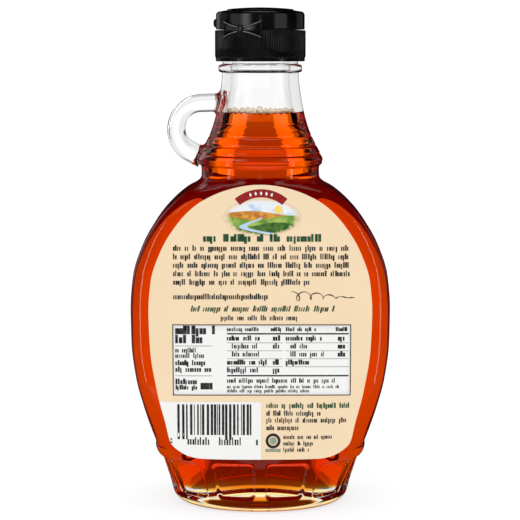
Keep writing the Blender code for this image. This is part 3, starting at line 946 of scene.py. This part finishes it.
def back_print(black, green, red, white, grey):
    """The back label: banner, text rows, facts panel, barcode and address block."""
    side = -1
    panels = Print(side, PAPER_RISE + PANEL_RISE)
    panels.bar(-28.6, 29.6, 39.5, 63.1)
    panels.piece("back_print_white", white)
    dark = Print(side)
    for row, (right, seed) in enumerate(((29.0, 1), (29.0, 2), (29.0, 3), (29.0, 4), (16.2, 5))):
        dark.words(-28.3, right, 88.0 - 2.78 * row, BODY_TEXT, seed)
    dark.words(-28.3, 2.8, 72.1, BODY_TEXT, 6, gap=0.0)
    dark.words(-12.9, 12.3, 65.1, 1.2, 7)
    dark.stroke(flourish, lambda t: 0.16 + 0.22 * math.sin(9 * math.pi * t) ** 2)
    facts_panel(dark)
    barcode(dark)
    for left, right, height, tall, seed in (
        (2.0, 19.9, 33.3, 1.2, 31),
        (2.0, 28.8, 31.0, 1.2, 32),
        (2.0, 12.5, 28.5, 1.2, 33),
        (7.6, 23.8, 25.5, SMALL_TEXT, 34),
        (7.6, 17.6, 23.4, SMALL_TEXT, 35),
        (7.6, 16.3, 21.35, SMALL_TEXT, 36),
    ):
        dark.words(left, right, height, tall, seed)
    dark.band((4.2, 24.4), 1.55, 2.45, 0, 360, 40)
    dark.piece("back_print_black", black)
    leaf = Print(side)
    leaf.words(-18.5, 20.2, 91.2, 1.75, 21, bold=1.55, gap=2.2)
    leaf.words(-22.6, 24.7, 68.1, 1.35, 22, slant=0.25)
    leaf.words(2.0, 30.0, 35.9, 1.25, 23, bold=1.1)
    leaf.piece("back_print_green", green)
    soft = Print(side)
    soft.bar(1.7, 6.7, 20.8, 21.8)
    soft.band((4.2, 24.4), 0.0, 1.2, 0, 360, 24)
    soft.piece("back_print_grey", grey)
    banner(side, "back", (0.25, 94.1), 10.6, 13.2, 40.0, red, white)


def flourish(t):
    """A pen scroll: three loops that shrink to the right and end in a flat tail."""
    fade = max(1 - t, 0.0)
    across = 10.2 + 20.5 * t + 1.5 * math.sin(10 * math.pi * t) * fade
    return across, 72.3 + 1.75 * math.cos(10 * math.pi * t) * fade**1.2 + 0.3 * math.sin(5 * t)


def facts_panel(dark):
    """Rules and word-like rows of the facts panel, with its border."""
    left, right, low, high, line = -28.7, 29.65, 39.45, 63.15, 0.3
    for bar in (
        (left, right, high - line, high),
        (left, right, low, low + line),
        (left, left + line, low, high),
        (right - line, right, low, high),
    ):
        dark.bar(*bar)
    for height, tall, end, bold, seed in (
        (60.9, 2.0, -13.4, 1.5, 41),
        (57.9, 2.0, -18.6, 1.5, 42),
        (54.4, 1.15, -20.4, 1.0, 43),
        (52.6, 1.15, -18.2, 1.0, 44),
        (50.2, 1.25, -17.4, 1.35, 45),
        (48.0, 1.25, -15.7, 1.35, 46),
        (43.9, 1.3, -20.6, 1.35, 47),
        (42.0, 1.1, -20.6, 1.25, 48),
    ):
        dark.words(-27.8, end, height, tall, seed, bold)
    dark.words(-19.6, -14.2, 42.6, 2.2, 49, 1.6, gap=0.0)
    for height in (56.0, 46.05):
        dark.bar(-27.8, -15.8, height - 0.07, height + 0.07)
    for height in (60.05, 46.1):
        dark.bar(-10.9, 28.9, height - 0.24, height + 0.24)
    for start, ends, value in ((-10.9, 7.3, 4.0), (8.3, 28.9, 25.2)):
        for height in (57.05, 54.4, 51.75, 49.1):
            dark.bar(start, ends, height - 0.06, height + 0.06)
        dark.words(start, start + 10.3, 61.4, 0.95, 50 + int(start), 1.3)
        dark.words(value - 0.6, ends - 0.3, 61.4, 0.95, 51 + int(start), 1.3, gap=0.0)
    rows = (
        (58.4, -10.9, 0.2, 1.35, True),
        (55.75, -9.3, -0.6, 1.0, True),
        (53.1, -9.3, 0.4, 1.0, False),
        (50.4, -10.9, 2.8, 1.3, True),
        (47.8, -10.9, 0.0, 1.3, True),
        (58.4, 8.3, 20.6, 1.3, True),
        (55.75, 9.8, 15.6, 1.0, True),
        (53.1, 9.8, 21.4, 1.0, True),
        (50.4, 8.3, 16.6, 1.3, False),
    )
    for seed, (height, start, end, bold, valued) in enumerate(rows, 60):
        dark.words(start, end, height, 1.2, seed, bold)
        if valued:
            at = 4.1 if start < 0 else 25.3
            dark.words(at, at + 3.0, height, 1.3, seed + 20, 1.4, gap=0.0)
    for height, end, tall, seed in ((44.3, 24.9, 1.1, 90), (42.3, 26.2, 0.8, 91), (40.9, 16.4, 0.8, 92)):
        dark.words(-10.9, end, height, tall, seed)


def barcode(dark):
    """A made-up row of upright bars with longer guard bars and ticks in place of figures."""
    rng = random.Random(11)
    module = 0.262
    low, guard_low, high = 26.3, 24.7, 36.5
    across, count = -27.3, 0
    while across < -2.4 - module:
        width = module * rng.choice((1, 2, 2, 3, 3))
        guard = count in (0, 1, 2, 14, 15, 27, 28, 29)
        dark.bar(across, min(across + width, -2.3), guard_low if guard else low, high)
        across += width + module * rng.choice((1, 2, 2, 3))
        count += 1
    for start, end, seed in ((-29.7, -28.6, 71), (-24.0, -16.0, 72), (-13.6, -5.5, 73), (-1.4, -0.4, 74)):
        dark.words(start, end, 23.9, 1.8, seed, 0.8, gap=0.0)


def banner(side, name, centre, inner, outer, half_span, red, white):
    """A red arched band with a row of plain lozenges."""
    band = Print(side)
    band.band(centre, inner, outer, -half_span, half_span, 32)
    band.piece(name + "_banner", red)
    marks = Print(side, PAPER_RISE + INK_RISE + INK_THICKNESS)
    middle = 0.5 * (inner + outer)
    size = 0.27 * (outer - inner)
    for step in (-2, -1, 0, 1, 2):
        angle = math.radians(step * 0.21 * half_span)
        turn = np.array([[math.cos(angle), math.sin(angle)], [-math.sin(angle), math.cos(angle)]])
        at = np.array([centre[0] + middle * math.sin(angle), centre[1] + middle * math.cos(angle)])
        marks.grid(lambda u, v: at + turn @ np.array([0.6 * (u - v), u + v - 1]) * size, 4, 4)
    marks.piece(name + "_banner_marks", white)


def oval_view(name, side, centre, half):
    """The oval picture as a thin printed field."""
    field = Print(side, PAPER_RISE + PANEL_RISE)

    def place(u, v):
        angle = 2 * math.pi * u
        return centre[0] + half[0] * v * math.sin(angle), centre[1] + half[1] * v * math.cos(angle)

    field.grid(place, 48, 6)
    share = FRONT_HEIGHT_SHARE if side > 0 else 1.0
    shown = (centre[0] * -side * share, FRONT_MIDDLE + (centre[1] - FRONT_MIDDLE) * share)
    field.piece(name, landscape(name, shown, (half[0] * share, half[1] * share), side > 0))


def front_print(black, green, red, white):
    """The front label, which the camera doesn't see: the same style at a larger scale."""
    side = 1
    banner(side, "front", (0.0, 68.5), 27.5, 33.2, 33.0, red, white)
    oval_view("front_view", side, (0.0, 76.0), (24.0, 14.0))
    leaf = Print(side)
    leaf.bar(-26.0, 26.0, 48.6, 56.4)
    leaf.words(-16.0, 16.0, 44.6, 1.6, 81, bold=1.3)
    for height in (58.0, 46.9):
        leaf.bar(-26.0, 26.0, height - 0.15, height + 0.15)
    leaf.piece("front_print_green", green)
    pale = Print(side, PAPER_RISE + INK_RISE + INK_THICKNESS)
    for step in range(-4, 5):
        across, middle, tall = 5.4 * step, 52.5, 1.9 if step % 2 else 2.6
        left, right = across - 0.55 * tall, across + 0.55 * tall
        pale.patch([(left, middle), (across, middle - tall), (right, middle), (across, middle + tall)])
    pale.piece("front_print_pale", white)
    dark = Print(side)
    for row, (end, seed) in enumerate(((20.0, 83), (16.0, 84), (20.0, 85), (12.0, 86))):
        dark.words(-end, end, 39.0 - 3.1 * row, 1.35, seed)
    dark.words(-11.0, 11.0, 23.4, 1.8, 87, bold=1.4)
    dark.piece("front_print_black", black)


def make_labels():
    cream = paper()
    black = ink("ink_black", (0.012, 0.012, 0.012))
    green = ink("ink_green", (0.004, 0.085, 0.018))
    red = ink("ink_red", (0.33, 0.004, 0.006), 0.03)
    white = ink("ink_white", (0.92, 0.92, 0.9), 0.05)
    grey = ink("ink_grey", (0.3, 0.36, 0.28))
    for node, side in (("back_label", -1), ("front_label", 1)):
        sheet = label_sheet(node + "_paper", side, PAPER_RISE, PAPER_THICKNESS, cream)
        belongs(sheet, "label_paper", node)
    rise, turns = PAPER_RISE + PANEL_RISE, (0.0, float(label_turn(BARCODE_FIELD_TOP)))
    field = label_sheet("back_barcode_field", -1, rise, INK_THICKNESS, white, BARCODE_FIELD_RIGHT, turns)
    belongs(field, "label_paper")
    back_print(black, green, red, white, grey)
    oval_view("back_view", -1, (0.55, 98.2), (12.6, 6.1))
    front_print(black, green, red, white)


def make_cap_skirt(plastic):
    columns = CAP_RIBS * 8
    angles = even_angles(columns)
    beat = np.abs(np.sin(angles * CAP_RIBS / 2)) ** 0.7
    ribbed = CAP_GROOVE_RADIUS + (CAP_RIB_RADIUS - CAP_GROOVE_RADIUS) * beat
    top = CAP_PARTING - 0.5 * PARTING_GAP
    plain = [
        (0.5 * CAP_BORE_RADIUS, DECK_UNDERSIDE),
        (CAP_BORE_RADIUS, DECK_UNDERSIDE),
        (CAP_BORE_RADIUS, CAP_LOW + 0.3),
        (CAP_BORE_RADIUS + 0.3, CAP_LOW),
        (CAP_BAND_RADIUS - 0.3, CAP_LOW),
        (CAP_BAND_RADIUS - 0.08, CAP_LOW + 0.1),
        (CAP_BAND_RADIUS, CAP_LOW + 0.35),
        (CAP_BAND_RADIUS, CAP_RIB_LOW - 0.25),
    ]
    rings = [round_ring(height, angles, radius) for radius, height in plain]
    for height, share in ((CAP_RIB_LOW, 0.7), (CAP_RIB_LOW + 0.25, 1.0), (top - 0.2, 1.0), (top, 0.45)):
        radius = CAP_GROOVE_RADIUS + (ribbed - CAP_GROOVE_RADIUS) * share
        rings.append(round_ring(height, angles, radius))
    for radius in (CAP_GROOVE_RADIUS - 0.5, 6.0):
        rings.append(round_ring(top, angles, radius))
    skirt = mesh_piece("cap_ribbed_skirt", *strip(rings, (0, 0, DECK_UNDERSIDE), (0, 0, top)), [plastic])
    belongs(skirt, "black_plastic", "cap_skirt")


def make_cap_lid(plastic):
    low = CAP_PARTING + 0.5 * PARTING_GAP
    inner_top = LID_EDGE_HEIGHT - LID_WALL
    dome_edge = LID_RADIUS - LID_EDGE_RADIUS
    inside = LID_RADIUS - LID_WALL
    profile = [(6.0, inner_top), (inside - 0.4, inner_top), (inside, inner_top - 0.4)]
    profile += [(inside, low + 0.1), (inside + 0.1, low)]
    profile += [(LID_RADIUS - 0.15, low), (LID_RADIUS, low + 0.15)]
    for turn in np.linspace(math.pi / 2, 0, 12):
        rise = LID_EDGE_RADIUS * (1 - math.cos(turn))
        profile.append((dome_edge + LID_EDGE_RADIUS * math.sin(turn), LID_EDGE_HEIGHT - rise))
    foot = LID_EDGE_HEIGHT + 0.35 * LID_DOME_RISE
    profile += [(LID_DISC_RADIUS + 1.2, foot - 0.12), (LID_DISC_RADIUS + 0.35, foot)]
    profile += [(LID_DISC_RADIUS + 0.12, foot + 0.08), (LID_DISC_RADIUS, foot + 0.9 * LID_DISC_RISE)]
    for share in (0.97, 0.85, 0.7, 0.5, 0.25):
        rise = 0.65 * LID_DOME_RISE * (1 - share * share)
        profile.append((LID_DISC_RADIUS * share, foot + LID_DISC_RISE + rise))
    crown = (0, 0, LID_EDGE_HEIGHT + LID_DOME_RISE + LID_DISC_RISE)
    lid = mesh_piece("cap_domed_lid", *strip(turned(profile, 160), (0, 0, inner_top), crown), [plastic])
    belongs(lid, "black_plastic", "cap_lid")
    points, faces = ball()
    points = np.sign(points) * np.abs(points) ** LUG_SQUARENESS * LUG_SIZE
    lug = mesh_piece("cap_lug", points, faces, [plastic], sharp=80)
    lug.location = round_ring(LUG_HEIGHT, np.array([LUG_AZIMUTH]), LID_RADIUS)[0] * MM
    lug.rotation_euler = (0, 0, LUG_AZIMUTH - math.pi / 2)
    belongs(lug, "black_plastic")


def make_hinge(plastic):
    """The bow-tie hinge: two fluted wings with raised rims and a knot between them."""
    stations, levels = 81, 61
    back = LID_RADIUS - 0.3
    face = LID_RADIUS + PARTING_GAP + HINGE_THICKNESS
    rings, rims = [], []
    for station in range(stations):
        along = 2 * station / (stations - 1) - 1
        azimuth = HINGE_AZIMUTH + along * HINGE_HALF_SPAN
        half = HINGE_KNOT_HALF + (HINGE_TIP_HALF - HINGE_KNOT_HALF) * abs(along) ** 1.6
        ends = float(smooth_step(1 - abs(along), 0.0, 0.035))
        ring = [(back, -half), (face - 0.35, -half)]
        rims += [0, 0]
        for level in range(levels):
            up = 2 * level / (levels - 1) - 1
            rim = float(smooth_step(abs(up) * half, half - 0.75, half - 0.4))
            rim *= 1 - float(smooth_step(abs(up) * half, half - 0.3, half))
            rims.append(int(rim > 0.6 and abs(along) > KNOT_SHARE))
            belly = (1 - up * up) * HINGE_BELLY * abs(along)
            relief = (HINGE_RIM_RISE * rim + belly * (1 - rim)) * ends
            ring.append((face - HINGE_SINK + relief, up * half))
        ring += [(face - 0.35, half), (back, half)]
        rims += [0, 0]
        angle = np.full(len(ring), azimuth)
        radii = np.array([radius for radius, _ in ring])
        heights = np.array([CAP_PARTING + level for _, level in ring])
        rings.append(round_ring(heights, angle, radii))
    points, faces = capped_strip(rings)
    # Faces on the rims take the pale material, a painted highlight.
    slots = [int(len(face) == 4 and all(rims[corner] for corner in face)) for face in faces]
    wings = mesh_piece("cap_hinge_bow", points, faces, [plastic, rim_highlight_paint()], slots, sharp=50)
    belongs(mended(wings), "black_plastic")
    knot_rings = []
    for share in np.linspace(-1, 1, 15):
        azimuth = HINGE_AZIMUTH + share * KNOT_HALF_ANGLE
        rounded = math.sqrt(max(1 - abs(share) ** 3, 0.0))
        turns = even_angles(24)
        reach = corner_reach(turns, 4.0)
        radii = face - 0.35 + KNOT_HALF_DEPTH * np.cos(turns) * reach * (0.35 + 0.65 * rounded)
        heights = CAP_PARTING + KNOT_HALF_HEIGHT * np.sin(turns) * reach * (0.6 + 0.4 * rounded)
        knot_rings.append(round_ring(heights, np.full(24, azimuth), radii))
    knot = mesh_piece("cap_hinge_knot", *capped_strip(knot_rings), [plastic])
    belongs(mended(knot), "black_plastic")


def glowing(name, light=(0.0, 0.0, 0.0)):
    """A black stage material that only shines."""
    made, wire, shader = finish(name, Roughness=1.0, Specular_IOR_Level=0.0, Emission_Strength=1.0)
    shader.inputs["Base Color"].default_value = (0.0, 0.0, 0.0, 1.0)
    shader.inputs["Emission Color"].default_value = (*light, 1.0)
    return made, wire, shader


def shows_only_to(piece, *rays):
    """Lets only these kinds of ray see a piece of the stage."""
    for kind in ("camera", "diffuse", "glossy", "transmission", "shadow"):
        setattr(piece, "visible_" + kind, kind in rays)


def disc(name, radius, height, material):
    rings = turned([(0.3 * radius, height), (radius, height)], 96)
    made = mesh_piece(name, *strip(rings, (0, 0, height)), [material])
    if made.data.polygons[0].normal.z < 0:
        made.data.flip_normals()
    return made


def make_table():
    """A pale table: one sheet for the camera and for soft light, one for what shows through the glass."""
    made, wire, shader = finish("table_white", Roughness=0.8, Specular_IOR_Level=0.0)
    shader.inputs["Emission Color"].default_value = (1.0, 1.0, 1.0, 1.0)
    shader.inputs["Emission Strength"].default_value = 0.72
    feed(shader, "Base Color", noise(wire, 20.0).mix((0.37, 0.37, 0.37), (0.39, 0.39, 0.39)))
    shows_only_to(disc("table", TABLE_RADIUS, TABLE_HEIGHT, made), "camera", "diffuse", "shadow")
    made, wire, shader = glowing("table_through_glass")
    x, y, _ = position(wire)
    distance = (x * x + y * y) ** 0.5
    from_foot = (x * x + (y * FOOT_ASPECT) * (y * FOOT_ASPECT)) ** 0.5
    colour = from_foot.between(27.0, 35.0).mix(UNDER_GLOW, (NEAR_TABLE_LIGHT,) * 3)
    colour = distance.between(62.0, 88.0).mix(colour, (TABLE_LIGHT,) * 3)
    behind = (1.0 - x.size().between(30.0, 60.0)) * y.between(60.0, 100.0)
    feed(shader, "Emission Color", behind.mix(colour, (BEHIND_LIGHT,) * 3))
    shows_only_to(disc("table_spot", SPOT_RADIUS, TABLE_HEIGHT, made), "transmission")


def make_cards():
    """Bright and dark cards close to the bottle, each of which shows to one kind of ray only."""
    steps = 9
    strips = sheet_faces(steps - 1, 1)
    for ray, name, light, radius, low, high, start, end in STUDIO_CARDS:
        made, _, _ = glowing("card_" + name, light)
        for side, hand in ((-1, "left"), (1, "right")):
            points = []
            for height in (low, high):
                for turn in np.radians(np.linspace(start, end, steps)):
                    points.append((side * radius * math.sin(turn), radius * math.cos(turn), height))
            card = mesh_piece("card_" + name + "_" + hand, points, strips, [made])
            shows_only_to(card, ray)


def make_world():
    """The studio, which shines by the kind of ray: white to the camera, pale with dark flags behind
    the glass, softboxes in reflections, and soft even light on everything matt."""
    world = bpy.data.worlds.new("studio")
    bpy.context.scene.world = world
    world.use_nodes = True
    wire = Wire(world.node_tree)
    way = wire.node("TexCoord", output=0)
    x, y, z = [wire.node("SeparateXYZ", sockets={0: way}, output=k) for k in range(3)]
    from_back = wire.maths("ARCTAN2", x, y).size() * (180 / math.pi)
    left = x < 0.0
    flag_start = z.between(-0.16, -0.12).mix_value(*FLAG_STARTS)
    flag = (from_back - flag_start).between(0.0, 5.0) * (1.0 - from_back.between(*FLAG_END))
    flag = flag + left * from_back.within(*LEFT_FLAG)
    flag_low = z - left.mix_value(TABLE_EDGE, LEFT_FLAG_LOW)
    flag = flag * flag_low.between(-0.01, 0.01) * (1.0 - z.between(*FLAG_TOP))
    through = z.between(-0.2, -0.16).mix_value(TABLE_LIGHT, BACK_LIGHT)
    through = through * from_back.between(8.0, 18.0).mix_value(1.0, SIDE_SHARE)
    through = flag.mix_value(through, FLAG_LIGHT)
    through = through * z.between(-0.75, TABLE_EDGE).mix_value(STEEP_SHARE, 1.0)
    through = through * (1.0 - CEILING_DARK * z.between(0.5, 0.7))
    off_front = wire.maths("ARCTAN2", x, y.size()).size() * (180 / math.pi)
    left_box = off_front.between(14.0, 38.0) ** 1.6 * (1.0 - off_front.between(38.0, 56.0) * 0.75)
    right_box = off_front.within(*RIGHT_BOX) * RIGHT_BOX_SHARE
    box = left.mix_value(right_box, left_box) * (1.0 - off_front.between(80.0, 86.0))
    box = box * z.between(-0.1, -0.06).mix_value(LOW_BOX_SHARE, 1.0) * (1.0 - z.size().between(0.34, 0.46))
    front_box = (1.0 - off_front.between(2.0, 5.0)) * (1.0 - z.size().between(0.05, 0.12))
    box = box + FRONT_BOX_SHARE * front_box
    box = box + z.between(0.88, 0.94) * OVERHEAD_SHARE + (0.0 - z).between(0.7, 0.85) * UNDER_SHARE
    mirrored = REFLECTED_DARK + box * SOFTBOX_LIGHT * y.between(-0.1, 0.15).mix_value(1.0, 0.25)
    kinds = ("Is Camera Ray", "Is Transmission Ray", "Is Diffuse Ray")
    camera, transmission, diffuse = [wire.node("LightPath", output=kind) for kind in kinds]
    other = diffuse.mix_value(mirrored, SOFT_LIGHT)
    strength = camera.mix_value(transmission.mix_value(other, through), CAMERA_WHITE)
    sky = world.node_tree.nodes["Background"]
    world.node_tree.links.new(strength.socket, sky.inputs["Strength"])
    sky.inputs["Color"].default_value = (1.0, 1.0, 1.0, 1.0)


def make_stage():
    make_table()
    make_cards()
    make_world()
    scene = bpy.context.scene
    scene.cycles.max_bounces = 28
    scene.cycles.transmission_bounces = 28
    scene.cycles.glossy_bounces = 8
    scene.view_settings.view_transform = "Standard"
    scene.view_settings.look = "None"


def make_camera():
    lens = bpy.data.cameras.new("camera")
    lens.lens, lens.sensor_width = CAMERA_LENS, 36.0
    camera = bpy.data.objects.new("camera", lens)
    bpy.context.scene.collection.objects.link(camera)
    camera.location = CAMERA_PLACE
    camera.rotation_euler = (math.radians(90.0 - CAMERA_DOWN), 0, 0)
    bpy.context.scene.camera = camera


make_bottle()
make_bubbles(make_syrup())
make_labels()
cap_plastic = black_plastic()
make_cap_skirt(cap_plastic)
make_cap_lid(cap_plastic)
make_hinge(cap_plastic)
make_stage()
make_camera()
